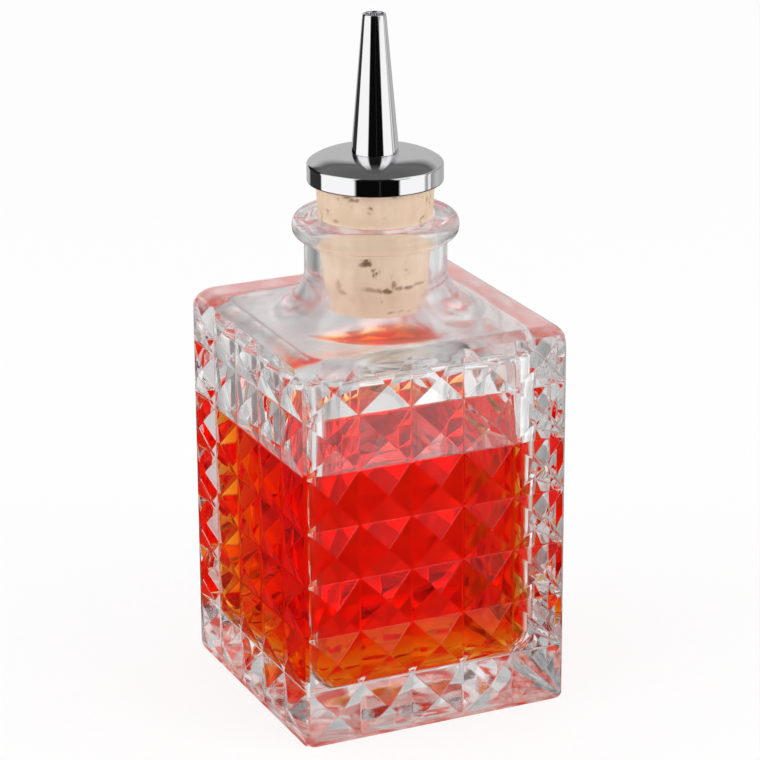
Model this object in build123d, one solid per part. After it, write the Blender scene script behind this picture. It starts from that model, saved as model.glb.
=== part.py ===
"""Square bitters bottle of studded glass, with a tapered cork and a chrome dash spout.

All sizes are millimetres. +Z is up, and the origin is the middle of the base.
The wide studded walls face -X, +X, -Y and +Y, and all four are alike.
"""
import math
import os

from build123d import *

# Studs: each wall is a grid of shallow four-sided pyramids
stud_width = 11.7
stud_height = 11.75
stud_rise = 1.6
columns = 5
rows = 7
walls = 4
quarter_turn = 90

# Glass body
foot_height = 0.7
corner_margin = 0.3
shoulder_over_studs = 0.15
shoulder_round = 4.6
corner_over_shoulder = 1.6
heel_round = 0.9
wall_thickness = 4.55
base_thickness = 10.0
shoulder_thickness = 5.6
cavity_corner_round = 6.0
cavity_roof_round = 1.5
cavity_floor_round = 6.0
fillet_limit_share = 0.96
push_up_radius = 22.0
push_up_depth = 1.2

# Neck and lip
neck_radius = 14.9
neck_rise = 20.4
flare_radius = 8.8
lip_overhang = 2.5
lip_height = 4.8
lip_round = 2.1
under_lip_round = 0.8
mouth_round = 0.7
bore_flare_radius = 9.5

# Cork
cork_top_radius = 12.4
cork_bottom_radius = 10.35
cork_length = 28.6
cork_exposed = 7.4
cork_edge = 0.5
cork_clearance = 0.1

# Cap disc
disc_radius = 14.3
disc_rim_height = 3.7
disc_rim_round = 0.9
disc_foot_round = 0.4
dome_rise = 2.3

# Spout
spout_base_radius = 4.95
spout_tip_radius = 2.43
spout_length = 28.9
spout_wall = 0.55
spout_floor = 1.0
spigot_wall = 0.7
spigot_depth = 2.0

# Feed tube through the cork
tube_radius = 2.7
tube_wall = 0.45
tube_proud = 1.0
tube_in_spout = 0.8
fit_gap = 0.03

# Bitters
fill_level = 57.9
fill_gap = 0.1

# Overrun of every cutting solid past the face that it cuts
overrun = 2.0

# Sizes that follow
half_pattern = columns * stud_width / 2
body_half = half_pattern + corner_margin
over_half = body_half + stud_rise
pattern_top = foot_height + rows * stud_height
shoulder_height = pattern_top + shoulder_over_studs
body_corner_round = shoulder_round + corner_over_shoulder
mouth_height = shoulder_height + neck_rise
lip_radius = neck_radius + lip_overhang
lip_bottom = mouth_height - lip_height
cork_top = mouth_height + cork_exposed
cork_bottom = cork_top - cork_length
cork_taper = (cork_top_radius - cork_bottom_radius) / cork_length
bore_radius = cork_top_radius - cork_taper * cork_exposed + cork_clearance
cavity_half = body_half - wall_thickness
cavity_top = shoulder_height - shoulder_thickness
rim_top = cork_top + disc_rim_height
dome_radius = (disc_radius ** 2 + dome_rise ** 2) / (2 * dome_rise)
dome_centre = rim_top + dome_rise - dome_radius
spout_seat = dome_centre + math.sqrt(dome_radius ** 2 - spout_base_radius ** 2)
spout_top = spout_seat + spout_length
spigot_radius = tube_radius + fit_gap + spigot_wall


def wall_point(wall, along, out, height):
    """A point of one wall: sideways along it, outwards from the axis, and up."""
    return Vector(along, -out, height).rotate(Axis.Z, quarter_turn * wall)


def flat_face(points):
    """A plane face through the given corner points."""
    return Face(Wire.make_polygon(points, close=True))


def stud_faces(wall, left, low):
    """The four sloping faces of one pyramid."""
    right = left + stud_width
    high = low + stud_height
    ring = [(left, low), (right, low), (right, high), (left, high)]
    corners = [wall_point(wall, x, body_half, z) for x, z in ring]
    middle = (left + right) / 2, (low + high) / 2
    peak = wall_point(wall, middle[0], over_half, middle[1])
    return [flat_face([corners[i - 1], corners[i], peak]) for i in range(len(corners))]


def plain_face(wall, left, right, low, high):
    """A plain rectangle of one wall, beside or above the studs."""
    ring = [(left, low), (right, low), (right, high), (left, high)]
    return flat_face([wall_point(wall, x, body_half, z) for x, z in ring])


def grid_lines():
    """The upright and the level lines that the faces of one wall meet on."""
    upright = [column * stud_width - half_pattern for column in range(columns + 1)]
    level = [foot_height + row * stud_height for row in range(rows + 1)]
    upright = [-body_half] + upright + [body_half]
    level = [-overrun] + level + [shoulder_height + overrun]
    return upright, level


def end_face(height, upright):
    """The square that closes the block at one height."""
    corners = []
    for wall in range(walls):
        corners += [wall_point(wall, x, body_half, height) for x in upright[:-1]]
    return flat_face(corners)


def studded_block():
    """A square block whose four walls carry the whole grid of pyramids."""
    upright, level = grid_lines()
    faces = [end_face(level[0], upright), end_face(level[-1], upright)]
    for wall in range(walls):
        for left, right in zip(upright[:-1], upright[1:]):
            for low, high in zip(level[:-1], level[1:]):
                on_columns = -body_half < left and right < body_half
                on_rows = low >= foot_height and high <= pattern_top
                if on_columns and on_rows:
                    faces += stud_faces(wall, left, low)
                else:
                    faces.append(plain_face(wall, left, right, low, high))
    return Solid(Shell(faces))


def upright_block(half, low, high, corner_round):
    """A square block with rounded upright edges, from one height to another."""
    sketch = RectangleRounded(2 * half, 2 * half, corner_round)
    return Pos(0, 0, low) * extrude(sketch, amount=high - low)


def rounded_block(half, low, high, corner_round, top_round, bottom_round):
    """A square block with every edge rounded, each round kept under the corners'."""
    limit = fillet_limit_share * corner_round
    block = upright_block(half, low, high, corner_round)
    block = fillet(block.faces().sort_by(Axis.Z)[-1].edges(), min(top_round, limit))
    return fillet(block.faces().sort_by(Axis.Z)[0].edges(), min(bottom_round, limit))


def turned(outline):
    """A solid turned round the upright axis from lines drawn as (radius, height)."""
    return revolve(Plane.XZ * make_face(outline), Axis.Z)


def turned_points(points):
    """A solid turned round the upright axis from (radius, height) points."""
    return turned(Polyline(*points, close=True))


def round_cutter(radius, low, high):
    """A cylinder on the upright axis, from one height to another."""
    return Pos(0, 0, low) * extrude(Circle(radius), high - low)


def neck():
    """The neck, its wide flare onto the shoulder and the bead of the lip."""
    flare_foot = neck_radius + flare_radius
    flare_top = shoulder_height + flare_radius
    sunk = shoulder_height - shoulder_thickness / 2
    foot = [(0, mouth_height), (0, sunk), (flare_foot, sunk), (flare_foot, shoulder_height)]
    bead = [(neck_radius, flare_top), (neck_radius, lip_bottom), (lip_radius, lip_bottom)]
    lip = [bead[-1], (lip_radius, mouth_height), foot[0]]
    flare = RadiusArc(foot[-1], bead[0], flare_radius)
    return turned([Polyline(*foot), flare, Polyline(*bead), Polyline(*lip)])


def ring_edges(solid, radius, height):
    """The round edges of a turned solid at one radius and height."""
    near = fit_gap / 2
    edges = solid.edges().filter_by(GeomType.CIRCLE)
    level = edges.filter_by(lambda e: abs(e.center(CenterOf.BOUNDING_BOX).Z - height) < near)
    return level.filter_by(lambda e: abs(e.radius - radius) < near)


def cavity(gap, top):
    """The room inside the walls, or what fills it when gap and top are smaller."""
    return rounded_block(
        cavity_half - gap,
        base_thickness + gap,
        top,
        cavity_corner_round - gap,
        cavity_roof_round - gap,
        cavity_floor_round - gap,
    )


def bore():
    """The round way out of the cavity: a wide flare up from its roof, then straight to the mouth."""
    flare_foot = bore_radius + bore_flare_radius
    flare_top = cavity_top + bore_flare_radius
    low = [(0, mouth_height + overrun), (0, cavity_top - overrun), (flare_foot, cavity_top - overrun)]
    high = [(bore_radius, flare_top), (bore_radius, mouth_height + overrun), low[0]]
    foot = (flare_foot, cavity_top)
    flare = RadiusArc(foot, high[0], bore_flare_radius)
    return turned([Polyline(*low, foot), flare, Polyline(*high)])


def glass_bottle():
    """The pressed glass: studded walls, neck, lip, cavity, bore and mouth."""
    envelope = rounded_block(
        over_half, 0, shoulder_height, body_corner_round, shoulder_round, heel_round
    )
    bead = neck()
    bead = fillet(ring_edges(bead, lip_radius, mouth_height), lip_round)
    bead = fillet(ring_edges(bead, lip_radius, lip_bottom), lip_round)
    bead = fillet(ring_edges(bead, neck_radius, lip_bottom), under_lip_round)
    glass = studded_block() & envelope
    glass = glass + bead
    glass = glass - cavity(0, cavity_top) - bore()
    glass = fillet(ring_edges(glass, bore_radius, mouth_height), mouth_round)
    push_up_sphere = (push_up_radius ** 2 + push_up_depth ** 2) / (2 * push_up_depth)
    return glass - Pos(0, 0, push_up_depth - push_up_sphere) * Sphere(push_up_sphere)


def bitters_fill():
    """The liquid, a hair clear of the glass, up to its level."""
    body = cavity(fill_gap, cavity_top - fill_gap)
    room = 2 * (body_half + overrun)
    above = Pos(0, 0, fill_level) * Box(room, room, room, align=(Align.CENTER, Align.CENTER, Align.MIN))
    return body - above


def cork_stopper():
    """The tapered cork with the bore for the feed tube."""
    core = tube_radius + fit_gap
    return turned_points([
        (core, cork_bottom),
        (cork_bottom_radius - cork_edge, cork_bottom),
        (cork_bottom_radius + cork_taper * cork_edge, cork_bottom + cork_edge),
        (cork_top_radius, cork_top),
        (core, cork_top),
    ])


def cap_disc():
    """The domed disc over the cork, bored for the tube and the spout's spigot."""
    plate = [(0, spout_seat), (0, cork_top), (disc_radius, cork_top), (disc_radius, rim_top)]
    dome = RadiusArc(plate[-1], (spout_base_radius, spout_seat), dome_radius)
    disc = turned([Polyline(*plate), dome, Line((spout_base_radius, spout_seat), plate[0])])
    disc = fillet(ring_edges(disc, disc_radius, cork_top), disc_foot_round)
    disc = fillet(ring_edges(disc, disc_radius, rim_top), disc_rim_round)
    disc = disc - round_cutter(tube_radius + fit_gap, cork_top - overrun, spout_seat + overrun)
    return disc - round_cutter(spigot_radius + fit_gap, spout_seat - spigot_depth, spout_seat + overrun)


def dash_spout():
    """The thin conical spout, open at its tip, with a floor and a spigot below."""
    bore = tube_radius + fit_gap
    return turned_points([
        (bore, spout_seat - spigot_depth),
        (spigot_radius, spout_seat - spigot_depth),
        (spigot_radius, spout_seat),
        (spout_base_radius, spout_seat),
        (spout_tip_radius, spout_top),
        (spout_tip_radius - spout_wall, spout_top),
        (spout_base_radius - spout_wall, spout_seat + spout_floor),
        (bore, spout_seat + spout_floor),
    ])


def feed_tube():
    """The straight tube from below the cork up into the spout."""
    low = cork_bottom - tube_proud
    high = spout_seat + tube_in_spout
    return turned_points([
        (tube_radius - tube_wall, low),
        (tube_radius, low),
        (tube_radius, high),
        (tube_radius - tube_wall, high),
    ])


pieces = {
    "glass_bottle": glass_bottle,
    "bitters_fill": bitters_fill,
    "cork_stopper": cork_stopper,
    "cap_disc": cap_disc,
    "dash_spout": dash_spout,
    "feed_tube": feed_tube,
}

os.makedirs("parts", exist_ok=True)
for name, make in pieces.items():
    solid = make()
    export_step(solid, f"parts/{name}.step")
    print(name, round(solid.volume), "mm3")
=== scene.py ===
"""Dressed model of a square studded-glass bitters bottle with a cork and a chrome dash spout.

Every length in the classes is in millimetres and turned into metres where a mesh is made.
The origin is the middle of the base, and +Z is up.
"""

import logging
import math
from dataclasses import dataclass, field
from enum import Enum
from typing import Iterable, Sequence

import bmesh
import bpy
import numpy as np
from mathutils import Matrix, Vector, noise


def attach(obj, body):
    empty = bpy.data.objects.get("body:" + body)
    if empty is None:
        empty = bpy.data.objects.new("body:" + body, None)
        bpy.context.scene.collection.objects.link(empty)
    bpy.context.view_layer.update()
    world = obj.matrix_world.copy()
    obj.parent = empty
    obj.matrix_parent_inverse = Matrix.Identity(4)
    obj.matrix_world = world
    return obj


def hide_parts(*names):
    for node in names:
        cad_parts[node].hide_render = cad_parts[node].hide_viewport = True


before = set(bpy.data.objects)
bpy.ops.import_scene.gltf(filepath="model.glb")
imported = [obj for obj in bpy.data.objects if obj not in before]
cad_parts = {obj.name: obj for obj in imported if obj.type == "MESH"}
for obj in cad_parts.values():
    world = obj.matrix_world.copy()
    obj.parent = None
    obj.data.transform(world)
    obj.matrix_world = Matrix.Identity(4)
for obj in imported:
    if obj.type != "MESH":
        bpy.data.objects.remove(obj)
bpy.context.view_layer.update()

LOG = logging.getLogger("bitters_bottle")
MM = 0.001
QUARTERS = 4
SHARP_EDGE = 35.0
LEAST_CORNER = 0.01
SHARED_DIGITS = 3
GLASS_IOR = 1.5
BITTERS_IOR = 1.345
WHITE = (1.0, 1.0, 1.0, 1.0)
Ring = tuple[float, float, float]
Point = tuple[float, float]
Node = bpy.types.Node
Socket = bpy.types.NodeSocket


class Body(Enum):
    """The two rigid bodies of the bottle."""

    BOTTLE = "bottle"
    STOPPER = "stopper"


class Slot(Enum):
    """The material slots of the record."""

    GLASS = "clear_glass"
    BITTERS = "bitters"
    CORK = "natural_cork"
    DISC = "chrome_disc"
    SPOUT = "chrome_spout"
    TUBE = "tube_steel"


class Graph:
    """A material's or world's node tree, built one node at a time."""

    def __init__(self, tree: bpy.types.NodeTree) -> None:
        """Empties the tree.

        Args:
            tree: The node tree of a material or of the world.
        """
        self.tree = tree
        tree.nodes.clear()

    def node(self, kind: str, **settings: object) -> Node:
        """Adds one node.

        Args:
            kind: The node type without its ShaderNode prefix.
            settings: Values for the node's own properties.

        Returns:
            The new node.
        """
        made = self.tree.nodes.new("ShaderNode" + kind)
        for key, value in settings.items():
            setattr(made, key, value)
        return made

    def feed(self, socket: Socket, value: object) -> None:
        """Links an input to another node's output, or sets it to a plain value.

        Args:
            socket: The input.
            value: An output socket or a plain value.
        """
        if isinstance(value, Socket):
            self.tree.links.new(value, socket)
        else:
            socket.default_value = value

    def set(self, node: Node, **values: object) -> Node:
        """Feeds input sockets by name.

        Args:
            node: The node whose inputs are set.
            values: Input names, with _ for each space, and a value or a socket.

        Returns:
            The same node.
        """
        for key, value in values.items():
            self.feed(node.inputs[key.replace("_", " ")], value)
        return node

    def math(self, operation: str, first: object, second: object = 0.0) -> Socket:
        """One arithmetic step.

        Args:
            operation: The Math node's operation.
            first: A socket or a number.
            second: A socket or a number.

        Returns:
            The result's socket.
        """
        made = self.node("Math", operation=operation)
        for socket, value in zip(made.inputs, (first, second)):
            self.feed(socket, value)
        return made.outputs[0]

    def mix_shader(self, share: Socket, first: Node, second: Node) -> Socket:
        """Mixes two shaders.

        Args:
            share: How much of the second shows.
            first: The shader at 0.
            second: The shader at 1.

        Returns:
            The mixed shader's socket.
        """
        made = self.node("MixShader")
        for socket, value in zip(made.inputs, (share, first.outputs[0], second.outputs[0])):
            self.feed(socket, value)
        return made.outputs[0]

    def blend(self, share: object, first: object, second: object) -> Socket:
        """Blends two colours.

        Args:
            share: A socket or a number.
            first: The colour at 0.
            second: The colour at 1.

        Returns:
            The blended colour's socket.
        """
        made = self.node("Mix", data_type="RGBA")
        for name, value in (("Factor", share), ("A", first), ("B", second)):
            self.feed(next(one for one in made.inputs if one.name == name and one.enabled), value)
        return next(one for one in made.outputs if one.enabled)

    def ramp(self, factor: Socket, stops: Sequence[tuple[float, tuple]]) -> Socket:
        """A colour ramp.

        Args:
            factor: What the ramp reads.
            stops: Places from 0 to 1 with their colours.

        Returns:
            The colour socket.
        """
        made = self.node("ValToRGB")
        elements = made.color_ramp.elements
        while len(elements) < len(stops):
            elements.new(1.0)
        for element, (place, colour) in zip(elements, stops):
            element.position = place
            element.color = (*colour, 1.0)
        self.feed(made.inputs["Fac"], factor)
        return made.outputs["Color"]


def place_object(name: str, data: bpy.types.ID) -> bpy.types.Object:
    """Makes an object and links it to the scene.

    Args:
        name: The object's name.
        data: Its mesh, camera or lamp.

    Returns:
        The object.
    """
    made = bpy.data.objects.new(name, data)
    bpy.context.scene.collection.objects.link(made)
    return made


def new_material(name: str) -> tuple[bpy.types.Material, Graph, Node]:
    """A material with an empty tree and its output node.

    Args:
        name: The material's name.

    Returns:
        The material, its graph and the output node.
    """
    material = bpy.data.materials.new(name)
    material.use_nodes = True
    graph = Graph(material.node_tree)
    return material, graph, graph.node("OutputMaterial")


@dataclass(frozen=True)
class ClearGlass:
    """Pressed glass, or its inner face where liquid wets it.

    Each mark of soft_at is a height with a share of the softness. Each mark of haze_at is a distance
    from the axis towards the two far walls, with a share of the haze, which starts above haze_from.
    """

    name: str = "pressed_glass"
    ior: float = GLASS_IOR
    ripple: float = 0.15
    ripple_scale: float = 130.0
    ripple_detail: float = 1.0
    soft: float = 0.0
    soft_at: tuple = (
        (0.0, 0.4), (7.5, 0.4), (9.5, 0.0), (79.5, 0.0), (82.5, 1.0), (89.0, 1.0), (94.0, 0.1), (98.0, 0.3),
        (99.5, 0.75),
    )
    haze: float = 0.0
    haze_at: tuple = ((20.0, 0.0), (22.5, 1.0), (27.5, 1.0), (29.0, 0.0))
    haze_from: float = 50.0
    haze_soft: float = 0.1
    haze_spread: float = 0.5
    haze_tint: tuple = (1.0, 0.96, 0.96, 1.0)
    ramp_reach: float = 100.0

    def material(self) -> bpy.types.Material:
        """Builds the glass with a faint ripple in its surface.

        Returns:
            The material.
        """
        material, graph, out = new_material(self.name)
        place = graph.node("TexCoord").outputs["Object"]
        waves = graph.set(
            graph.node("TexNoise"), Vector=place, Scale=self.ripple_scale, Detail=self.ripple_detail
        )
        bump = graph.set(graph.node("Bump"), Height=waves.outputs["Fac"], Strength=self.ripple, Distance=MM)
        glass = graph.set(
            graph.node("BsdfPrincipled"), Base_Color=WHITE, Roughness=0.0, IOR=self.ior,
            Transmission_Weight=1.0, Normal=bump.outputs["Normal"],
        )
        if self.soft:
            self.soften(graph, glass, place)
        graph.set(out, Surface=glass.outputs[0])
        return material

    def soften(self, graph: Graph, glass: Node, place: Socket) -> None:
        """Roughens the base, shoulder and lip a little, and hazes the shoulder's two far edges.

        Args:
            graph: The material's graph.
            glass: The glass shader.
            place: Where a point lies on the bottle.
        """
        across, deep, height = graph.set(graph.node("SeparateXYZ"), Vector=place).outputs
        high = self.along(graph, height, self.soft_at)
        far = self.along(graph, graph.math("MAXIMUM", across, deep), self.haze_at)
        upper = graph.math("GREATER_THAN", height, self.haze_from * MM)
        edge = graph.math("MULTIPLY", graph.math("MULTIPLY", high, far), upper)
        more = graph.math("MULTIPLY", edge, self.haze_soft)
        graph.set(
            glass, Roughness=graph.math("ADD", graph.math("MULTIPLY", high, self.soft), more),
            Sheen_Weight=graph.math("MULTIPLY", edge, self.haze), Sheen_Roughness=self.haze_spread,
            Sheen_Tint=self.haze_tint,
        )

    def along(self, graph: Graph, way: Socket, marks: Sequence[Point]) -> Socket:
        """A share that changes along one direction.

        Args:
            graph: The material's graph.
            way: The place along the direction, in metres.
            marks: Places in millimetres, with a share.

        Returns:
            The share's socket.
        """
        span = self.ramp_reach * MM
        stops = [(place * MM / span, (share,) * 3) for place, share in marks]
        return graph.ramp(graph.math("DIVIDE", way, span), stops)


@dataclass(frozen=True)
class BittersLiquid:
    """Clear red-orange liquid that reddens with depth."""

    name: str = "bitters_depth"
    density: float = 300.0
    passes: tuple = (0.998, 0.69, 0.0, 1.0)

    def material(self) -> bpy.types.Material:
        """Builds the liquid as a tint with no bend of its own at the wet walls.

        Returns:
            The material.
        """
        material, graph, out = new_material(self.name)
        skin = graph.set(
            graph.node("BsdfPrincipled"), Base_Color=WHITE, Roughness=0.0, IOR=1.0, Transmission_Weight=1.0
        )
        depth = graph.set(graph.node("VolumeAbsorption"), Color=self.passes, Density=self.density)
        graph.set(out, Surface=skin.outputs[0], Volume=depth.outputs[0])
        return material


@dataclass(frozen=True)
class Chrome:
    """Polished chrome with a trace of wiping marks."""

    name: str = "chrome"
    tone: tuple = (0.86, 0.86, 0.87, 1.0)
    roughness: float = 0.035
    wiping_scale: float = 900.0
    wiping_detail: float = 3.0
    wiping: float = 0.01
    wiping_depth: float = 0.1

    def material(self) -> bpy.types.Material:
        """Builds the chrome.

        Returns:
            The material.
        """
        material, graph, out = new_material(self.name)
        place = graph.node("TexCoord").outputs["Object"]
        marks = graph.set(
            graph.node("TexNoise"), Vector=place, Scale=self.wiping_scale, Detail=self.wiping_detail
        )
        bump = graph.set(
            graph.node("Bump"), Height=marks.outputs["Fac"], Strength=self.wiping,
            Distance=self.wiping_depth * MM,
        )
        metal = graph.set(
            graph.node("BsdfPrincipled"), Base_Color=self.tone, Metallic=1.0, Roughness=self.roughness,
            Normal=bump.outputs["Normal"],
        )
        graph.set(out, Surface=metal.outputs[0])
        return material


@dataclass(frozen=True)
class NaturalCork:
    """Pale cork with upright grain, fine speckle and dark pores."""

    name: str = "natural_cork"
    light: tuple = (0.80, 0.62, 0.46)
    mid: tuple = (0.73, 0.54, 0.38)
    dark: tuple = (0.20, 0.09, 0.03, 1.0)
    light_at: float = 0.62
    mid_at: float = 0.3
    upright: tuple = (1.0, 1.0, 0.35)
    grain_scale: float = 420.0
    grain_detail: float = 6.0
    grain_rough: float = 0.6
    relief: float = 0.35
    relief_depth: float = 0.3
    roughness: float = 0.75

    def material(self) -> bpy.types.Material:
        """Builds the cork.

        Returns:
            The material.
        """
        material, graph, out = new_material(self.name)
        place = graph.node("TexCoord").outputs["Object"]
        drawn = graph.set(graph.node("Mapping"), Vector=place, Scale=self.upright)
        grain = graph.set(
            graph.node("TexNoise"), Vector=drawn.outputs[0], Scale=self.grain_scale,
            Detail=self.grain_detail, Roughness=self.grain_rough,
        )
        colour = graph.ramp(grain.outputs["Fac"], [(self.mid_at, self.mid), (self.light_at, self.light)])
        pores = graph.node("Attribute", attribute_name="pore")
        colour = graph.blend(pores.outputs["Fac"], colour, self.dark)
        bump = graph.set(
            graph.node("Bump"), Height=grain.outputs["Fac"], Strength=self.relief,
            Distance=self.relief_depth * MM,
        )
        cork = graph.set(
            graph.node("BsdfPrincipled"), Base_Color=colour, Roughness=self.roughness,
            Normal=bump.outputs["Normal"],
        )
        graph.set(out, Surface=cork.outputs[0])
        return material


@dataclass(frozen=True)
class StudioFloor:
    """Pale floor that shows white, keeps a soft shadow and lets glass and chrome see the studio.

    Seen through the glass, it takes the red patches of light that the bottle casts close round itself.
    """

    name: str = "studio_floor"
    tone: tuple = (0.9, 0.9, 0.9, 1.0)
    shown_white: float = 0.8
    cast: tuple = (
        (0.36, (1.0, 0.93, 0.92)), (0.47, (1.0, 0.5, 0.45)), (0.55, (1.0, 0.5, 0.45)),
        (0.64, (0.9, 0.08, 0.05)),
    )
    cast_from: float = 32.0
    cast_to: float = 120.0
    cast_scale: float = 85.0
    cast_detail: float = 1.5
    cast_twist: float = 1.2

    def material(self) -> bpy.types.Material:
        """Builds the floor: white to the camera, open to glass and metal, matt to other light.

        Returns:
            The material.
        """
        material, graph, out = new_material(self.name)
        path = graph.node("LightPath")
        through = path.outputs["Is Transmission Ray"]
        matt = graph.set(graph.node("BsdfDiffuse"), Color=self.tone)
        white = graph.set(graph.node("Emission"), Color=WHITE, Strength=1.0)
        shown = graph.math("MULTIPLY", path.outputs["Is Camera Ray"], self.shown_white)
        lit = graph.mix_shader(shown, matt, white)
        place = graph.node("NewGeometry").outputs["Position"]
        patches = graph.set(
            graph.node("TexNoise"), Vector=place, Scale=self.cast_scale, Detail=self.cast_detail,
            Distortion=self.cast_twist,
        )
        cast = graph.ramp(patches.outputs["Fac"], self.cast)
        away = graph.set(graph.node("VectorMath", operation="LENGTH"), Vector=place)
        near = graph.set(
            graph.node("MapRange", clamp=True), Value=away.outputs["Value"],
            From_Min=self.cast_from * MM, From_Max=self.cast_to * MM, To_Min=1.0, To_Max=0.0,
        )
        tint = graph.blend(graph.math("MULTIPLY", near.outputs[0], through), WHITE, cast)
        opened = graph.set(graph.node("BsdfTransparent"), Color=tint)
        seen = graph.math("MAXIMUM", path.outputs["Is Glossy Ray"], through)
        graph.set(out, Surface=graph.mix_shader(seen, lit.node, opened))
        return material


@dataclass(frozen=True)
class Course:
    """One level of the studio's surroundings: what is seen all the way round at one rise.

    The rise is in degrees above the horizon. Each mark is a bearing, in degrees to the right of the
    camera as the bottle sees it, with a brightness.
    """

    rise: float
    around: tuple

    @classmethod
    def even(cls, rise: float, bright: float) -> "Course":
        """A course of one brightness."""
        return cls(rise, ((-180, bright), (180, bright)))


@dataclass(frozen=True)
class Backdrop:
    """How bright the studio is in every direction, for one kind of ray, from the floor up."""

    courses: tuple

    def shader(self, graph: Graph, bearing: Socket, climb: Socket) -> Node:
        """Builds the background shader, blending from each course to the next.

        Args:
            graph: The world's graph.
            bearing: Turn from the camera's side, from 0 to 1.
            climb: Rise from straight down to straight up, from 0 to 1.

        Returns:
            The background node.
        """
        level = graph.ramp(bearing, self.stops(self.courses[0].around, 360.0))
        for under, over in zip(self.courses[:-1], self.courses[1:]):
            share = graph.ramp(climb, self.stops(((under.rise, 0.0), (over.rise, 1.0)), 180.0))
            level = graph.blend(share, level, graph.ramp(bearing, self.stops(over.around, 360.0)))
        return graph.set(graph.node("Background"), Color=level, Strength=1.0)

    @staticmethod
    def stops(marks: Sequence[Point], span: float) -> list[tuple[float, tuple]]:
        """Turns marks in degrees into ramp stops.

        Args:
            marks: Degrees from the middle, with a brightness.
            span: The degrees that the whole ramp covers.

        Returns:
            Ramp places with grey colours.
        """
        return [(degrees / span + 0.5, (bright,) * 3) for degrees, bright in marks]


def gloss_panels(rise: float, behind: float) -> Course:
    """A course of the glossy surroundings near the horizon: bright panels and dark gaps.

    Args:
        rise: The course's rise.
        behind: Brightness to the left behind the bottle.

    Returns:
        The course.
    """
    return Course(rise, (
        (-180, behind), (-146, behind), (-139, 0.04), (-104, 0.03), (-101, 1.06), (-36, 1.06), (-32, 0.003),
        (6, 0.003), (8, 0.03), (10, 0.003), (40, 0.003), (43, 1.06), (90, 1.06), (93, 0.5), (98, 0.3),
        (100, 0.85), (106, 0.85), (108, 0.3), (125, 0.55), (146, 0.45), (180, 0.5),
    ))


def matt_panels(rise: float, ahead: float) -> Course:
    """A course of the surroundings that light matt surfaces: a bright panel to each side.

    Args:
        rise: The course's rise.
        ahead: Brightness on the camera's side.

    Returns:
        The course.
    """
    return Course(rise, (
        (-180, 0.8), (-120, 0.85), (-100, 1.15), (-40, 1.15), (-15, ahead), (15, ahead), (40, 1.15),
        (100, 1.15), (120, 0.85), (180, 0.8),
    ))


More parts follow.
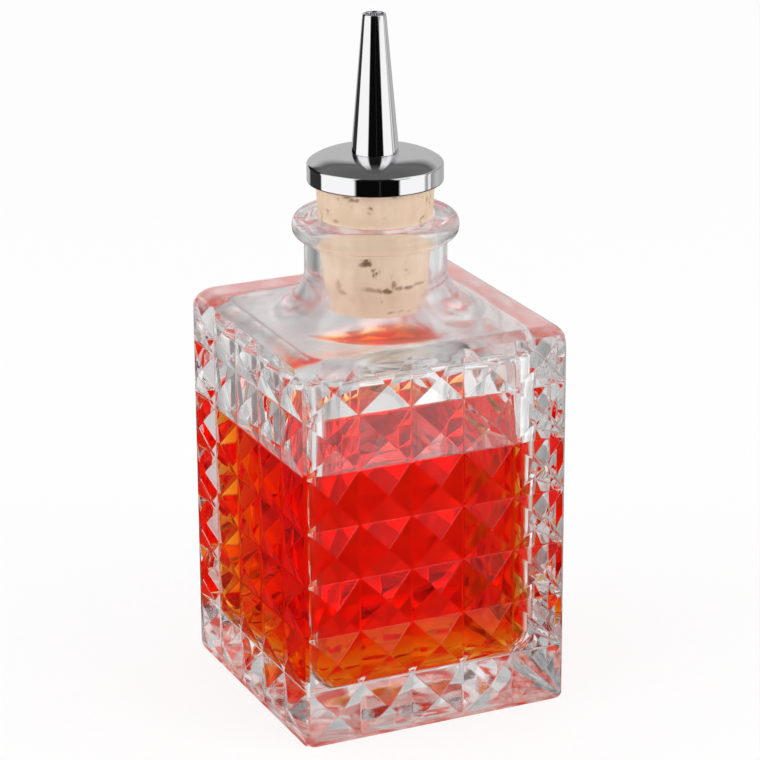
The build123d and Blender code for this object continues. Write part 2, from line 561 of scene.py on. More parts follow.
@dataclass
class Studio:
    """Camera, surroundings, lamps and floor.

    The camera's turns are in degrees, and its focal length is a share of the frame's width. The gloss
    backdrop is what metal and glass mirror, and the clear one is what shows through the glass. The
    matt one lights dull surfaces, and counts for more where it comes through the glass.
    """

    camera_place: tuple = (-267.88, -582.61, 291.41)
    yaw: float = 24.76
    pitch: float = -19.31
    roll: float = -0.315
    focal_share: float = 3224.1 / 760
    sensor: float = 36.0
    clip_near: float = 10.0
    clip_far: float = 100000.0
    floor_reach: float = 3000.0
    lamp_bearing: float = 65.0
    lamp_rise: float = 35.0
    lamp_away: float = 900.0
    lamp_size: float = 600.0
    lamp_watts: float = 1.5
    glass_bounces: int = 32
    gloss_bounces: int = 12
    open_bounces: int = 16
    gloss: Backdrop = Backdrop((
        Course.even(-36, 0.06),
        Course.even(-28, 0.01),
        Course.even(-18.5, 0.01),
        gloss_panels(-17, 0.5),
        gloss_panels(-5, 0.52),
        Course(4, (
            (-180, 0.52), (-152, 0.52), (-146, 0.0), (-104, 0.0), (-100, 1.06), (-38, 1.06), (-32, 0.003),
            (30, 0.01), (40, 0.28), (56, 0.28), (62, 1.06), (90, 1.06), (94, 0.2), (139, 0.3), (150, 0.45),
            (180, 0.52),
        )),
        Course(24, (
            (-180, 0.53), (-152, 0.53), (-146, 0.02), (-104, 0.02), (-90, 1.04), (-40, 1.04), (-30, 0.01),
            (30, 0.01), (40, 0.7), (60, 0.7), (66, 1.04), (84, 1.04), (100, 0.5), (150, 0.53), (180, 0.53),
        )),
        Course(36, (
            (-180, 0.12), (-150, 0.12), (-100, 0.2), (-80, 1.04), (-40, 1.04), (-30, 0.01), (30, 0.01),
            (40, 1.04), (80, 1.04), (100, 0.2), (150, 0.12), (180, 0.12),
        )),
        Course(42, (
            (-180, 0.15), (-100, 0.15), (-80, 1.04), (-40, 1.04), (-30, 0.01), (30, 0.01), (40, 1.04),
            (80, 1.04), (100, 0.15), (180, 0.15),
        )),
        Course.even(66, 0.12),
    ))
    clear: Backdrop = Backdrop((
        Course(-67, (
            (-180, 1.5), (-165, 1.0), (-135, 0.85), (-105, 0.77), (-75, 0.86), (-45, 0.7), (-15, 0.95),
            (15, 0.71), (45, 0.66), (75, 0.74), (105, 0.7), (135, 0.9), (150, 1.3), (165, 1.8), (180, 1.5),
        )),
        Course(-48, (
            (-180, 1.3), (-170, 1.0), (-155, 0.7), (-135, 0.4), (-105, 0.8), (-75, 0.92), (-45, 0.8),
            (-15, 0.93), (15, 0.8), (45, 1.1), (75, 0.87), (105, 0.7), (140, 0.6), (150, 0.5), (158, 1.3),
            (168, 1.6), (180, 1.3),
        )),
        Course(-34, (
            (-180, 0.75), (-170, 0.52), (-155, 0.5), (-135, 0.2), (-105, 0.81), (-75, 1.0), (-45, 0.87),
            (-15, 0.9), (15, 0.9), (45, 1.3), (75, 1.0), (105, 0.71), (140, 0.6), (150, 0.45), (160, 0.72),
            (170, 0.6), (180, 0.8),
        )),
        Course(-15, (
            (-180, 0.75), (-170, 0.6), (-155, 0.5), (-135, 0.25), (-105, 0.7), (-75, 0.75), (-45, 0.8),
            (-15, 0.65), (-9, 0.12), (9, 0.12), (15, 0.86), (45, 1.0), (75, 1.1), (105, 0.8), (140, 0.66),
            (150, 0.9), (160, 0.85), (170, 0.5), (180, 0.75),
        )),
        Course(-3, (
            (-180, 0.8), (-170, 0.68), (-155, 0.55), (-135, 0.3), (-105, 0.75), (-75, 0.7), (-45, 0.55),
            (-15, 0.6), (-9, 0.12), (9, 0.12), (15, 0.8), (45, 0.8), (75, 1.1), (105, 0.95), (140, 0.7),
            (150, 0.95), (160, 1.1), (170, 1.25), (180, 0.8),
        )),
        Course(12, (
            (-180, 0.35), (-165, 0.5), (-135, 0.3), (-105, 0.84), (-75, 0.83), (-45, 0.35), (-15, 0.7),
            (-9, 0.12), (9, 0.12), (15, 0.72), (45, 0.58), (75, 1.1), (105, 1.1), (135, 0.56), (150, 0.85),
            (160, 1.1), (170, 0.75), (180, 0.35),
        )),
        Course(32, (
            (-180, 0.68), (-165, 0.64), (-135, 0.58), (-105, 0.75), (-75, 0.9), (-45, 1.1), (-15, 1.0),
            (-9, 0.2), (9, 0.2), (15, 1.0), (45, 0.97), (75, 1.1), (105, 0.73), (135, 0.31), (165, 0.72),
            (180, 0.68),
        )),
        Course.even(50, 0.75),
        Course.even(64, 0.3),
    ))
    matt: Backdrop = Backdrop((
        Course.even(-40, 0.85),
        matt_panels(0, 0.6),
        matt_panels(40, 0.7),
        Course.even(70, 0.85),
    ))
    matt_in_glass: float = 2.1

    def camera(self) -> None:
        """Sets the camera where the photograph was taken from."""
        yaw, pitch, roll = (math.radians(angle) for angle in (self.yaw, self.pitch, self.roll))
        ahead = Vector((math.sin(yaw) * math.cos(pitch), math.cos(yaw) * math.cos(pitch), math.sin(pitch)))
        level = Vector((math.cos(yaw), -math.sin(yaw), 0.0))
        above = level.cross(ahead)
        right = level * math.cos(roll) + above * math.sin(roll)
        up = above * math.cos(roll) - level * math.sin(roll)
        data = bpy.data.cameras.new("photo_camera")
        data.sensor_width = self.sensor
        data.lens = self.focal_share * self.sensor
        data.clip_start = self.clip_near * MM
        data.clip_end = self.clip_far * MM
        camera = place_object("photo_camera", data)
        turn = Matrix((right, up, -ahead)).transposed().to_4x4()
        camera.matrix_world = Matrix.Translation(Vector(self.camera_place) * MM) @ turn
        bpy.context.scene.camera = camera

    def world(self) -> None:
        """Surrounds the bottle with white for the camera and with softboxes for everything else."""
        world = bpy.data.worlds.new("studio_world")
        bpy.context.scene.world = world
        world.use_nodes = True
        graph = Graph(world.node_tree)
        out = graph.node("OutputWorld")
        way = graph.node("TexCoord").outputs["Generated"]
        turned = graph.set(
            graph.node("VectorRotate", rotation_type="Z_AXIS"), Vector=way, Angle=math.radians(self.yaw)
        )
        parts = graph.set(graph.node("SeparateXYZ"), Vector=turned.outputs[0])
        side, depth, rise = (parts.outputs[name] for name in "XYZ")
        bearing = graph.math("ARCTAN2", side, graph.math("MULTIPLY", depth, -1.0))
        bearing = graph.math("ADD", graph.math("MULTIPLY", bearing, 0.5 / math.pi), 0.5)
        climb = graph.math("ADD", graph.math("MULTIPLY", graph.math("ARCSINE", rise), 1.0 / math.pi), 0.5)
        path = graph.node("LightPath")
        backdrops = self.gloss, self.clear, self.matt
        gloss, clear, matt = (one.shader(graph, bearing, climb) for one in backdrops)
        through = path.outputs["Is Transmission Ray"]
        more = graph.math("MULTIPLY", through, self.matt_in_glass - 1.0)
        graph.set(matt, Strength=graph.math("ADD", more, 1.0))
        white = graph.set(graph.node("Background"), Color=WHITE, Strength=1.0)
        lit = graph.mix_shader(path.outputs["Is Glossy Ray"], matt, gloss)
        lit = graph.mix_shader(through, lit.node, clear)
        after_matt = graph.math("GREATER_THAN", path.outputs["Diffuse Depth"], 0.5)
        lit = graph.mix_shader(after_matt, lit.node, matt)
        graph.set(out, Surface=graph.mix_shader(path.outputs["Is Camera Ray"], lit.node, white))

    def lamp(self, name: str, bearing: float) -> None:
        """One soft square lamp that faces the bottle and lights only its matt surfaces.

        Args:
            name: The lamp's name.
            bearing: Degrees to the right of the camera's own bearing, seen from the bottle.
        """
        data = bpy.data.lights.new(name, "AREA")
        data.shape = "SQUARE"
        data.size = self.lamp_size * MM
        data.energy = self.lamp_watts
        turn = math.radians(bearing - self.yaw)
        lift = math.radians(self.lamp_rise)
        way = Vector((math.sin(turn) * math.cos(lift), -math.cos(turn) * math.cos(lift), math.sin(lift)))
        lamp = place_object(name, data)
        lamp.location = way * self.lamp_away * MM
        lamp.rotation_euler = way.to_track_quat("Z", "Y").to_euler()
        lamp.visible_glossy = False
        lamp.visible_transmission = False

    def floor(self) -> None:
        """Lays the pale floor."""
        reach = self.floor_reach * MM
        mesh = bpy.data.meshes.new("studio_floor")
        corners = [(-reach, -reach, 0), (reach, -reach, 0), (reach, reach, 0), (-reach, reach, 0)]
        mesh.from_pydata(corners, [], [(0, 1, 2, 3)])
        mesh.materials.append(StudioFloor().material())
        place_object("studio_floor", mesh)

    def build(self) -> None:
        """Makes the whole studio."""
        self.camera()
        self.world()
        self.lamp("left_softbox", -self.lamp_bearing)
        self.lamp("right_softbox", self.lamp_bearing)
        self.floor()
        scene = bpy.context.scene
        scene.view_settings.view_transform = "Standard"
        scene.cycles.max_bounces = self.glass_bounces
        scene.cycles.transmission_bounces = self.glass_bounces
        scene.cycles.glossy_bounces = self.gloss_bounces
        scene.cycles.transparent_max_bounces = self.open_bounces


def new_piece(
    name: str, mesh: bpy.types.Mesh, body: Body, node: str | None,
    materials: Iterable[bpy.types.Material],
) -> bpy.types.Object:
    """Links a mesh as a piece that rides on a body.

    Args:
        name: The piece's name.
        mesh: Its mesh, in metres.
        body: The body it rides on.
        node: The CAD node it stands for, if any.
        materials: Its materials in order.

    Returns:
        The new object.
    """
    piece = place_object(name, mesh)
    mesh.materials.clear()
    for material in materials:
        mesh.materials.append(material)
    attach(piece, body.value)
    if node:
        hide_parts(node)
    return piece


def arc(centre: Point, radius: float, start: float, stop: float, steps: int) -> list[Point]:
    """Points along an arc.

    Args:
        centre: Its centre as (radius, height).
        radius: Its radius.
        start: The first angle in degrees, from straight outwards.
        stop: The last angle in degrees.
        steps: How many runs the arc has.

    Returns:
        The points, both ends included.
    """
    angles = np.radians(np.linspace(start, stop, steps + 1))
    return [(centre[0] + radius * math.cos(a), centre[1] + radius * math.sin(a)) for a in angles]


def lathe(name: str, profile: Sequence[Point], turns: int) -> bpy.types.Mesh:
    """A ring turned round the upright axis.

    Args:
        name: The mesh's name.
        profile: (radius, height) points all round the ring's section.
        turns: Points round the axis.

    Returns:
        The mesh, in metres.
    """
    angles = np.linspace(0, 2 * np.pi, turns, endpoint=False)
    made = bmesh.new()
    rows = []
    for radius, height in profile:
        ring = [(radius * math.cos(a) * MM, radius * math.sin(a) * MM, height * MM) for a in angles]
        rows.append([made.verts.new(point) for point in ring])
    for low, high in zip(rows, [*rows[1:], rows[0]]):
        join_rows(made, low, high)
    bmesh.ops.recalc_face_normals(made, faces=made.faces)
    return finish_mesh(made, name)


def join_rows(made: bmesh.types.BMesh, low: list, high: list) -> None:
    """Fills between two closed rows of points, either of which may be one point.

    Args:
        made: The mesh being built.
        low: The first row.
        high: The second row.
    """
    count = max(len(low), len(high))
    for i in range(count):
        j = (i + 1) % count
        corners = [low[i % len(low)], low[j % len(low)], high[j % len(high)], high[i % len(high)]]
        unique = list(dict.fromkeys(corners))
        if len(unique) > 2:
            made.faces.new(unique)


def shade(mesh: bpy.types.Mesh, sharp: float) -> None:
    """Shades a mesh smooth and keeps its sharp edges.

    Args:
        mesh: The mesh.
        sharp: Edges that turn by more degrees than this stay sharp.
    """
    mesh.shade_smooth()
    mesh.set_sharp_from_angle(angle=math.radians(sharp))


def finish_mesh(made: bmesh.types.BMesh, name: str) -> bpy.types.Mesh:
    """Turns a bmesh into a shaded mesh.

    Args:
        made: The bmesh, freed here.
        name: The mesh's name.

    Returns:
        The mesh.
    """
    mesh = bpy.data.meshes.new(name)
    made.to_mesh(mesh)
    made.free()
    shade(mesh, SHARP_EDGE)
    return mesh


def ring_angles(quarter: int = 48, even: float = 0.45) -> np.ndarray:
    """Angles of a ring's points, closer together at the square's corners.

    Args:
        quarter: Points in each quarter.
        even: How evenly they are spaced, where 1 is all even.

    Returns:
        The angles in radians, all the way round.
    """
    along = np.linspace(-1, 1, quarter, endpoint=False)
    local = np.pi / 4 * (even * along + (1 - even) * np.sin(np.pi / 2 * along))
    return np.concatenate([local + turn * np.pi / 2 for turn in range(QUARTERS)])


def square_radius(angles: np.ndarray, half: float, corner: float) -> np.ndarray:
    """Distance from the axis to a square with rounded corners.

    Args:
        angles: Directions in radians.
        half: Half the square's width.
        corner: Radius of its corners. A corner as large as half makes a circle.

    Returns:
        The distances.
    """
    local = np.abs((angles + np.pi / 4) % (np.pi / 2) - np.pi / 4)
    inset = half - corner
    flat = half / np.cos(local)
    reach = inset * (np.cos(local) + np.sin(local))
    bent = reach + np.sqrt(np.maximum(reach ** 2 - 2 * inset ** 2 + corner ** 2, 0.0))
    return np.where(half * np.tan(local) <= inset, flat, bent)


def rounded_rings(
    half: float, corner: float, centre: float, radius: float, start: float, stop: float, steps: int
) -> list[Ring]:
    """Rings of a rounded edge that runs round a square.

    Args:
        half: Half the square's width beside the edge.
        corner: Radius of its upright corners.
        centre: Height of the rounding's centre.
        radius: The rounding's radius.
        start: First angle in degrees, from straight outwards.
        stop: Last angle in degrees.
        steps: How many runs the rounding has.

    Returns:
        Rings as (height, half width, corner radius).
    """
    rings = []
    for angle in np.radians(np.linspace(start, stop, steps + 1)):
        inset = radius * (1 - math.cos(angle))
        rings.append((centre + radius * math.sin(angle), half - inset, max(corner - inset, LEAST_CORNER)))
    return rings


def border_marks(studs: int, soft: float) -> list[float]:
    """Where a line of studs has points along its border, in half studs from its start.

    Args:
        studs: How many studs the line has.
        soft: Share of half a stud that is rounded at each valley.

    Returns:
        The marks, both ends included.
    """
    marks = []
    for stud in range(studs):
        marks += [2 * stud, 2 * stud + soft, 2 * stud + 2 - soft]
    return [*marks, 2 * studs]


def round_rings(points: Iterable[Point]) -> list[Ring]:
    """Turns (radius, height) points into round rings."""
    return [(height, radius, radius) for radius, height in points]


def loft(rings: Sequence[Ring], start: float | None, stop: float | None) -> bmesh.types.BMesh:
    """A skin through rings.

    Args:
        rings: (height, half width, corner radius) of each ring.
        start: Height of a point on the axis that closes the first ring, if any.
        stop: Height of a point on the axis that closes the last ring, if any.

    Returns:
        The bmesh.
    """
    angles = ring_angles()
    made = bmesh.new()
    rows = []
    for height, half, corner in rings:
        away = square_radius(angles, half, corner)
        points = zip(away * np.cos(angles) * MM, away * np.sin(angles) * MM)
        rows.append([made.verts.new((x, y, height * MM)) for x, y in points])
    if start is not None:
        rows.insert(0, [made.verts.new((0, 0, start * MM))])
    if stop is not None:
        rows.append([made.verts.new((0, 0, stop * MM))])
    for low, high in zip(rows[:-1], rows[1:]):
        join_rows(made, low, high)
    return made


@dataclass
class Cavity:
    """The room inside the glass, up to the foot of the bore."""

    half: float = 25.0
    floor: float = 10.0
    roof: float = 77.5
    corner: float = 6.0
    roof_round: float = 1.5
    floor_round: float = 5.76
    bore: float = 11.96
    flare: float = 9.5
    floor_shares: tuple = (0.3, 0.7)
    floor_square: float = 0.9
    wall_steps: int = 8

    def wall_rings(self, level: float, gap: float) -> list[Ring]:
        """Rings from the floor up the wall to a level.

        Args:
            level: Height of the last ring.
            gap: How far inside the glass the rings lie.

        Returns:
            The rings.
        """
        flat = self.half - self.floor_round
        rings = [
            (self.floor + gap, share * flat, self.floor_square * share * flat) for share in self.floor_shares
        ]
        half, corner, bend = self.half - gap, self.corner - gap, self.floor_round - gap
        bend_at = self.floor + self.floor_round
        rings += rounded_rings(half, corner, bend_at, bend, -90, 0, steps=10)
        for step in range(1, self.wall_steps + 1):
            rings.append((bend_at + (level - bend_at) * step / self.wall_steps, half, corner))
        return rings

    def roof_rings(self) -> list[Ring]:
        """Rings from the top of the wall over the roof and up the flare to the bore.

        Returns:
            The rings.
        """
        bend_at = self.roof - self.roof_round
        rings = rounded_rings(self.half, self.corner, bend_at, self.roof_round, 0, 90, steps=8)
        foot = self.bore + self.flare
        rings += round_rings(arc((foot, self.roof + self.flare), self.flare, 270, 180, steps=16))
        return rings


class WallMesh:
    """A mesh of four equal walls, whose shared points are made once."""

    def __init__(self, half: float) -> None:
        """Starts an empty mesh.

        Args:
            half: Half the width over the walls.
        """
        self.half = half
        self.made = bmesh.new()
        self.known: dict[tuple, bmesh.types.BMVert] = {}

    def vert(self, wall: int, along: float, out: float, height: float) -> bmesh.types.BMVert:
        """A point of a wall, made if it isn't there yet.

        Args:
            wall: Which wall, counted round from the one at -Y.
            along: Place along the wall, from its middle.
            out: Height over the wall's plane.
            height: Height over the base.

        Returns:
            The point.
        """
        x, y = along, -self.half - out
        for _ in range(wall):
            x, y = -y, x
        key = tuple(round(place, SHARED_DIGITS) for place in (x, y, height))
        if key not in self.known:
            self.known[key] = self.made.verts.new((x * MM, y * MM, height * MM))
        return self.known[key]

    def face(self, wall: int, corners: Iterable[Ring]) -> None:
        """Adds one face of a wall.

        Args:
            wall: Which wall.
            corners: Its corners as (along, out, height).
        """
        self.made.faces.new([self.vert(wall, *corner) for corner in corners])


@dataclass
class GlassBottle:
    """The pressed glass with its studded walls, neck and lip.

    The shoulder's lead and square shape the ring between its square edge and the neck's round flare.
    """

    stud_width: float = 11.7
    stud_height: float = 11.75
    stud_rise: float = 1.6
    columns: int = 5
    rows: int = 7
    foot: float = 0.7
    margin: float = 0.3
    shoulder: float = 83.1
    shoulder_round: float = 4.6
    corner_round: float = 6.2
    heel_round: float = 0.9
    push_up_radius: float = 22.0
    push_up_depth: float = 1.2
    push_up_shares: tuple = (0.2, 0.4, 0.6, 0.8, 1.0)
    neck_radius: float = 14.9
    flare: float = 8.8
    lip_radius: float = 17.4
    lip_bottom: float = 98.7
    mouth: float = 103.5
    lip_round: float = 2.1
    under_lip_round: float = 0.8
    mouth_round: float = 0.7
    ridge_round_share: float = 0.05
    peak_rings: tuple = (1.2, 0.6)
    least_middle: float = 0.5
    least_back: float = 0.4
    shoulder_lead: float = 0.3
    shoulder_square: float = 0.6
    cut_below: float = 2.0
    cut_above: float = 5.0
    fill_level: float = 57.9
    wet_slack: float = 0.05
    sharp_edge: float = 38.0
    facet_weight: int = 80
    cavity: Cavity = field(default_factory=Cavity)

    def half(self) -> float:
        """Half the width over the walls, without the studs."""
        return self.columns * self.stud_width / 2 + self.margin

    def outside_rings(self) -> list[Ring]:
        """Rings from the push-up round the heel, walls, shoulder, neck and lip to the mouth.

        Returns:
            The rings.
        """
        over = self.half() + self.stud_rise
        bulge = (self.push_up_radius ** 2 + self.push_up_depth ** 2) / (2 * self.push_up_depth)
        hollow = []
        for share in self.push_up_shares:
            radius = share * self.push_up_radius
            hollow.append((radius, math.sqrt(bulge ** 2 - radius ** 2) + self.push_up_depth - bulge))
        rings = round_rings(hollow)
        rings += rounded_rings(over, self.corner_round, self.heel_round, self.heel_round, -90, 0, steps=8)
        bend_at = self.shoulder - self.shoulder_round
        rings += rounded_rings(over, self.corner_round, bend_at, self.shoulder_round, 0, 90, steps=14)
        foot = self.neck_radius + self.flare
        rings.append((self.shoulder, foot + self.shoulder_lead, self.shoulder_square * foot))
        rings += round_rings(arc((foot, self.shoulder + self.flare), self.flare, -90, -180, steps=16))
        under = self.neck_radius + self.under_lip_round, self.lip_bottom - self.under_lip_round
        rings += round_rings(arc(under, self.under_lip_round, 180, 90, steps=4))
        bead = self.lip_radius - self.lip_round
        rings += round_rings(arc((bead, self.lip_bottom + self.lip_round), self.lip_round, -90, 0, steps=8))
        rings += round_rings(arc((bead, self.mouth - self.lip_round), self.lip_round, 0, 90, steps=8))
        return rings

    def inside_rings(self) -> list[Ring]:
        """Rings from the mouth down the bore and the cavity to the floor.

        Returns:
            The rings.
        """
        edge = self.cavity.bore + self.mouth_round, self.mouth - self.mouth_round
        rings = round_rings(arc(edge, self.mouth_round, 90, 180, steps=5))
        rings += reversed(self.cavity.roof_rings())
        rings += reversed(self.cavity.wall_rings(self.fill_level, 0.0))
        return rings

    def skin(self) -> bpy.types.Object:
        """The whole glass before its walls are studded.

        Returns:
            A temporary object.
        """
        made = loft(self.outside_rings() + self.inside_rings(), self.push_up_depth, self.cavity.floor)
        return self.temporary("glass_skin", made)

    @staticmethod
    def temporary(name: str, made: bmesh.types.BMesh) -> bpy.types.Object:
        """Links a mesh that is deleted later.

        Args:
            name: The object's name.
            made: Its mesh.

        Returns:
            The object.
        """
        bmesh.ops.recalc_face_normals(made, faces=made.faces)
        return place_object(name, finish_mesh(made, name))

    def stud_out(self, level: float) -> float:
        """Height over the wall of a pyramid's ring, rounded in the valley and at the peak.

        Args:
            level: 1 at the stud's border and 0 at its peak.

        Returns:
            The height.
        """
        soft = self.ridge_round_share
        climb = 1 - level
        if climb < soft:
            climb = (climb ** 2 + soft ** 2) / (2 * soft)
        if level < soft:
            climb = 1 - (level ** 2 + soft ** 2) / (2 * soft)
        return self.stud_rise * climb

    def stud_rings(self) -> list[list[Ring]]:
        """A pyramid's points, ring by ring from its border to its peak.

        The rings' corners are cut, which rounds the ridges between the facets.

        Returns:
            Rings of (sideways share, upwards share, height over the wall).
        """
        soft = self.ridge_round_share
        rings = []
        for level in (1.0, 1 - soft / 2, 1 - soft, *(share * soft for share in self.peak_rings)):
            middle = 1.0 if level == 1.0 else max(level - soft / 4, self.least_middle * level)
            back = max(level - soft, self.least_back * level)
            ring = []
            for turn in range(QUARTERS):
                for x, z in ((level, back), (middle, middle), (back, level)):
                    for _ in range(turn):
                        x, z = -z, x
                    ring.append((x, z, self.stud_out(level)))
            rings.append(ring)
        rings.append([(0.0, 0.0, self.stud_out(0.0))])
        return rings

    def add_studs(self, block: WallMesh, wall: int) -> None:
        """Fills the middle of a wall with its pyramids.

        Args:
            block: The mesh being built.
            wall: Which wall.
        """
        rings = self.stud_rings()
        wide, tall = self.stud_width / 2, self.stud_height / 2
        pattern = self.columns * wide
        for column in range(self.columns):
            for row in range(self.rows):
                x0, z0 = (2 * column + 1) * wide - pattern, self.foot + (2 * row + 1) * tall
                rows = [
                    [block.vert(wall, x0 + x * wide, out, z0 + z * tall) for x, z, out in ring]
                    for ring in rings
                ]
                for outer, inner in zip(rows[:-1], rows[1:]):
                    join_rows(block.made, outer, inner)

    def add_strips(self, block: WallMesh, wall: int, ends: Point) -> None:
        """Fills a wall beside, below and above its pyramids.

        Args:
            block: The mesh being built.
            wall: Which wall.
            ends: Heights of the wall's foot and top.
        """
        half, border, soft = self.half(), self.stud_out(1.0), self.ridge_round_share
        wide, tall = self.stud_width / 2, self.stud_height / 2
        pattern = self.columns * wide
        marks = [self.foot + mark * tall for mark in border_marks(self.rows, soft)]
        for side in (-1, 1):
            for z0, z1 in zip(marks[:-1], marks[1:]):
                near = [(side * pattern, border, z0), (side * pattern, border, z1)]
                block.face(wall, [*near, (side * half, 0, z1), (side * half, 0, z0)])
        steps = [mark * wide - pattern for mark in border_marks(self.columns, soft)]
        for z0, z1 in zip((marks[0], marks[-1]), ends):
            line = [(x, border, z0) for x in steps]
            block.face(wall, [(-half, 0, z0), *line, (half, 0, z0), (half, 0, z1), (-half, 0, z1)])

    def studded_block(self) -> bpy.types.Object:
        """A square block with a grid of pyramids on each wall.

        Returns:
            A temporary object.
        """
        block = WallMesh(self.half())
        ends = -self.cut_below, self.mouth + self.cut_above
        for wall in range(QUARTERS):
            self.add_studs(block, wall)
            self.add_strips(block, wall, ends)
        for height in ends:
            block.made.faces.new([block.vert(wall, -block.half, 0, height) for wall in range(QUARTERS)])
        return self.temporary("studded_block", block.made)

    def build(self) -> bpy.types.Object:
        """Cuts the skin to the studded block and dresses the glass.

        Returns:
            The finished piece.
        """
        skin, block = self.skin(), self.studded_block()
        cut = skin.modifiers.new("studs", "BOOLEAN")
        cut.operation = "INTERSECT"
        cut.solver = "EXACT"
        cut.object = block
        ready = skin.evaluated_get(bpy.context.evaluated_depsgraph_get())
        mesh = bpy.data.meshes.new_from_object(ready)
        mesh.name = "pressed_glass"
        shade(mesh, self.sharp_edge)
        for spare in (skin, block):
            bpy.data.objects.remove(spare)
        dry = ClearGlass(soft=0.17, haze=1.0)
        wet = ClearGlass(name="wet_glass", ior=GLASS_IOR / BITTERS_IOR)
        glass = new_piece(
            "pressed_glass", mesh, Body.BOTTLE, "glass_bottle", [dry.material(), wet.material()]
        )
        self.wet(mesh)
        even = glass.modifiers.new("even_facets", "WEIGHTED_NORMAL")
        even.keep_sharp = True
        even.weight = self.facet_weight
        return glass

    def wet(self, mesh: bpy.types.Mesh) -> None:
        """Gives the wet finish to the faces that the liquid touches.

        Args:
            mesh: The glass.
        """
        reach, low = self.cavity.half + self.wet_slack, self.cavity.floor - self.wet_slack
        for face in mesh.polygons:
            x, y, z = face.center / MM
            face.material_index = int(abs(x) < reach and abs(y) < reach and low < z < self.fill_level)


@dataclass
class Bitters:
    """The liquid and its free surface."""

    gap: float = 0.02
    ior: float = BITTERS_IOR

    def build(self, glass: GlassBottle) -> list[bpy.types.Object]:
        """Fills the cavity up to the level.

        Args:
            glass: The bottle that holds it.

        Returns:
            The liquid and its surface.
        """
        top = glass.fill_level
        rings = glass.cavity.wall_rings(top - self.gap, self.gap)
        made = loft(rings, glass.cavity.floor + self.gap, top - self.gap)
        bmesh.ops.recalc_face_normals(made, faces=made.faces)
        liquid = new_piece(
            "bitters_liquid", finish_mesh(made, "bitters_liquid"), Body.BOTTLE, "bitters_fill",
            [BittersLiquid().material()],
        )
        half = glass.cavity.half - self.gap / 2
        made = loft([(top, half, glass.cavity.corner)], None, top)
        for face in made.faces:
            if face.normal.z < 0:
                face.normal_flip()
        surface = new_piece(
            "bitters_surface", finish_mesh(made, "bitters_surface"), Body.BOTTLE, None,
            [ClearGlass(name="bitters_top", ior=self.ior, ripple=0.0).material()],
        )
        return [liquid, surface]


@dataclass(frozen=True)
class Pit:
    """One dark pore of the cork.

    The bearing is in degrees to the right of the side that faces the camera. The reaches are half its
    width and half its height, and the depth is 1 for the darkest.
    """

    bearing: float
    height: float
    wide: float
    tall: float
    depth: float


def clamp(value: float) -> float:
    """The value, kept between 0 and 1."""
    return max(0.0, min(1.0, value))


@dataclass(frozen=True)
class Fleck:
    """A layer of noise that is 0 up to its start and climbs from there."""

    scale: float
    start: float
    gain: float
    shift: tuple = (0, 0, 0)

    def at(self, point: Vector) -> float:
        """How strong the layer is at a point, from 0 to 1."""
        return clamp((noise.noise(point * self.scale + Vector(self.shift)) - self.start) * self.gain)


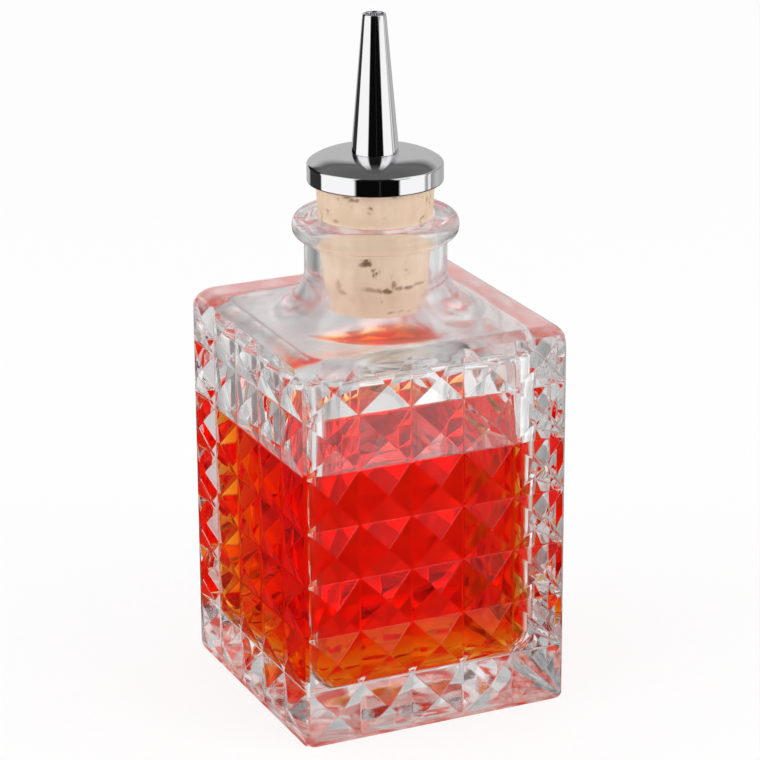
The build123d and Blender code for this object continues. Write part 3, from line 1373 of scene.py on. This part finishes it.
@dataclass
class Cork:
    """The tapered cork with the bore of the feed tube.

    Two layers of noise give its small flecks, and the pits are set one by one. Noise of the given
    amounts and scales makes their edges ragged.
    """

    top_radius: float = 12.4
    bottom_radius: float = 10.55
    bottom: float = 82.3
    top: float = 110.9
    edge: float = 0.5
    bore: float = 2.73
    courses: int = 121
    turns: int = 240
    front: float = 24.76
    stretch: tuple = (0.9, 0.9, 0.55)
    coarse: Fleck = Fleck(0.55, 0.38, 4.0)
    fine: Fleck = Fleck(2.3, -0.1, 2.0, (7, 3, 1))
    ragged: tuple = ((0.55, 1.9), (0.35, 4.3))
    pit_depth: float = 0.35
    pit_reach: float = 1.1
    pit_edge: float = 2.2
    inside_side: float = 0.1
    pits: tuple = (
        Pit(-9, 96.3, 1.3, 0.9, 1.0), Pit(-12, 95.8, 1.0, 0.5, 0.7), Pit(-5, 90.3, 1.6, 0.6, 0.45),
        Pit(4, 90.0, 1.1, 0.55, 0.6), Pit(12, 89.8, 1.0, 0.7, 0.9), Pit(18, 91.2, 0.5, 1.0, 0.7),
        Pit(24, 90.3, 1.0, 0.55, 0.6), Pit(34, 90.2, 1.2, 0.5, 0.75), Pit(47, 90.6, 1.5, 0.4, 0.5),
        Pit(-40, 90.6, 0.9, 1.3, 0.4), Pit(-36, 88.9, 1.0, 0.6, 0.5), Pit(-21, 109.3, 1.2, 0.4, 0.7),
        Pit(-28, 110.0, 0.9, 0.35, 0.8), Pit(-54, 105.9, 0.5, 0.6, 0.4), Pit(-43, 104.1, 0.8, 0.4, 0.5),
        Pit(17, 110.2, 0.9, 0.3, 0.6), Pit(60, 108.0, 0.5, 0.7, 0.5), Pit(16, 84.0, 0.9, 0.3, 0.6),
        Pit(38, 83.6, 0.7, 0.25, 0.5), Pit(118, 107.0, 1.0, 0.5, 0.8), Pit(165, 97.0, 0.7, 1.1, 0.6),
        Pit(205, 106.0, 1.2, 0.4, 0.8), Pit(250, 91.0, 0.9, 0.7, 0.7),
    )

    def build(self) -> bpy.types.Object:
        """Turns the cork with fine steps, and pits it.

        Returns:
            The cork.
        """
        radii = np.linspace(self.bottom_radius, self.top_radius, self.courses)
        side = list(zip(radii, np.linspace(self.bottom, self.top, self.courses)))
        side[0] = (side[0][0] - self.edge, side[0][1])
        mesh = lathe("cork", [(self.bore, self.bottom), *side, (self.bore, self.top)], self.turns)
        pitted_from = self.bottom_radius - self.edge - self.inside_side
        depths = []
        for vertex in mesh.vertices:
            point = vertex.co / MM
            depth = self.pore(point)
            depths.append(depth)
            if math.hypot(point.x, point.y) > pitted_from:
                vertex.co -= Vector((point.x, point.y, 0)).normalized() * depth * self.pit_depth * MM
        mesh.attributes.new("pore", "FLOAT", "POINT").data.foreach_set("value", depths)
        return new_piece("cork", mesh, Body.STOPPER, "cork_stopper", [NaturalCork().material()])

    def pore(self, point: Vector) -> float:
        """How deep in a pore a point of the cork lies.

        Args:
            point: The point, in millimetres.

        Returns:
            From 0 for plain cork to 1 for the darkest.
        """
        drawn = Vector([place * factor for place, factor in zip(point, self.stretch)])
        deepest = self.coarse.at(drawn) * self.fine.at(drawn)
        turn = math.degrees(math.atan2(point.x, -point.y)) + self.front
        ragged = sum(amount * noise.noise(point * scale) for amount, scale in self.ragged)
        for pit in self.pits:
            off = math.radians((turn - pit.bearing + 180) % 360 - 180) * math.hypot(point.x, point.y)
            far = math.hypot(off / pit.wide, (point.z - pit.height) / pit.tall) + ragged
            deepest = max(deepest, pit.depth * clamp(self.pit_edge * (self.pit_reach - far)))
        return deepest


@dataclass
class Pourer:
    """The chrome disc, the conical spout and the feed tube.

    The disc's top falls by the crown's power, slowly at first and steeply at the rim. The rim's hold
    is where an extra ring keeps the side flat beside each of its roundings.
    """

    seat: float = 110.9
    disc_radius: float = 14.3
    rim_height: float = 3.7
    rim_round: float = 0.7
    crown_fall: float = 2.4
    crown_power: float = 5.0
    foot_round: float = 0.2
    skirt: float = 0.3
    skirt_radius: float = 12.6
    dome_rise: float = 2.3
    spout_base: float = 4.95
    spout_tip: float = 2.43
    spout_length: float = 28.9
    spout_wall: float = 0.55
    tube_radius: float = 2.7
    tube_wall: float = 0.45
    tube_foot: float = 81.3
    tube_in_spout: float = 0.8
    fit_gap: float = 0.03
    rim_inset: float = 0.6
    rim_hold: float = 0.15
    slope_step: float = 0.1
    crown_from: float = 0.98
    crown_steps: int = 40
    spout_bevel: tuple = (0.15, 0.12)
    spout_floor: float = 1.0
    side_from: float = 0.05
    side_steps: int = 12
    turns: int = 192
    tube_turns: int = 96

    def foot(self) -> float:
        """Height of the spout's foot on the dome.

        Returns:
            The height.
        """
        radius = (self.disc_radius ** 2 + self.dome_rise ** 2) / (2 * self.dome_rise)
        drop = radius - math.sqrt(radius ** 2 - self.spout_base ** 2)
        return self.seat + self.rim_height + self.dome_rise - drop

    def crown(self, away: float) -> float:
        """Height of the disc's top at a distance from the axis, flat in the middle and steep outside."""
        here, near = ((reach / self.disc_radius) ** self.crown_power for reach in (away, self.spout_base))
        return self.foot() - self.crown_fall * (here - near)

    def disc(self) -> bpy.types.Object:
        """Turns the disc.

        Returns:
            The disc.
        """
        inner = self.tube_radius + self.fit_gap
        edge = self.disc_radius - self.rim_inset * self.rim_round
        tilt = math.atan((self.crown(edge - self.slope_step) - self.crown(edge)) / self.slope_step)
        bend = edge - self.rim_round * math.sin(tilt), self.crown(edge) - self.rim_round * math.cos(tilt)
        outer = bend[0] + self.rim_round
        foot = self.seat - self.skirt
        low = outer - self.foot_round, foot + self.foot_round
        profile = [(inner, self.seat), (self.skirt_radius, self.seat), (self.skirt_radius, foot)]
        profile += arc(low, self.foot_round, -90, 0, steps=6)
        profile += [(outer, low[1] + self.rim_hold), (outer, bend[1] - self.rim_hold)]
        profile += arc(bend, self.rim_round, 0, 90 - math.degrees(tilt), steps=10)
        for share in np.linspace(self.crown_from, 0.0, self.crown_steps):
            away = self.spout_base + share * (edge - self.spout_base)
            profile.append((away, self.crown(away)))
        profile.append((inner, self.foot()))
        mesh = lathe("cap_disc", profile, self.turns)
        return new_piece(
            "chrome_cap", mesh, Body.STOPPER, "cap_disc", [Chrome(name="disc_chrome").material()]
        )

    def spout(self) -> bpy.types.Object:
        """Turns the spout, with a rolled tip and a bore painted near black as painted shade.

        Returns:
            The spout.
        """
        foot = self.foot()
        top = foot + self.spout_length
        floor = foot + self.spout_floor
        lip = self.spout_wall / 2
        inner = self.tube_radius + self.fit_gap
        inset, rise = self.spout_bevel
        profile = [(inner, foot), (self.spout_base - inset, foot), (self.spout_base, foot + rise)]
        taper = self.spout_tip - self.spout_base
        for share in np.linspace(self.side_from, 1 - self.side_from, self.side_steps):
            profile.append((self.spout_base + share * taper, foot + share * self.spout_length))
        profile += arc((self.spout_tip - lip, top - lip), lip, 0, 180, steps=8)
        profile += [(self.spout_base - self.spout_wall, floor), (inner, floor)]
        mesh = lathe("dash_spout", profile, self.turns)
        # Inner faces above the bore's floor take the second slot, whose near-black is painted shade.
        for face in mesh.polygons:
            outward = face.normal.x * face.center.x + face.normal.y * face.center.y
            face.material_index = int(outward < 0 and face.center.z / MM > floor)
        # Painted shade: the bore's near-black finish stands in for the shade inside the spout.
        bore = Chrome(name="spout_bore_painted_shade", tone=(0.03, 0.03, 0.03, 1.0), roughness=0.5)
        return new_piece(
            "chrome_spout", mesh, Body.STOPPER, "dash_spout",
            [Chrome(name="spout_chrome").material(), bore.material()],
        )

    def tube(self) -> bpy.types.Object:
        """Turns the feed tube.

        Returns:
            The tube.
        """
        outer = self.tube_radius
        inner = outer - self.tube_wall
        top = self.foot() + self.tube_in_spout
        profile = [(inner, self.tube_foot), (outer, self.tube_foot), (outer, top), (inner, top)]
        mesh = lathe("feed_tube", profile, self.tube_turns)
        finish = Chrome(name="drawn_steel", tone=(0.66, 0.66, 0.67, 1.0), roughness=0.22)
        return new_piece("feed_pipe", mesh, Body.STOPPER, "feed_tube", [finish.material()])

    def build(self) -> list[bpy.types.Object]:
        """Makes the three metal pieces."""
        return [self.disc(), self.spout(), self.tube()]


def main() -> None:
    """Builds the studio, then the bottle from the inside out, and reports each piece."""
    logging.basicConfig(level=logging.INFO, format="%(message)s")
    Studio().build()
    glass = GlassBottle()
    pieces = [glass.build(), *Bitters().build(glass), Cork().build(), *Pourer().build()]
    for piece in pieces:
        LOG.info("%s: %d faces", piece.name, len(piece.data.polygons))


if __name__ == "__main__":
    main()
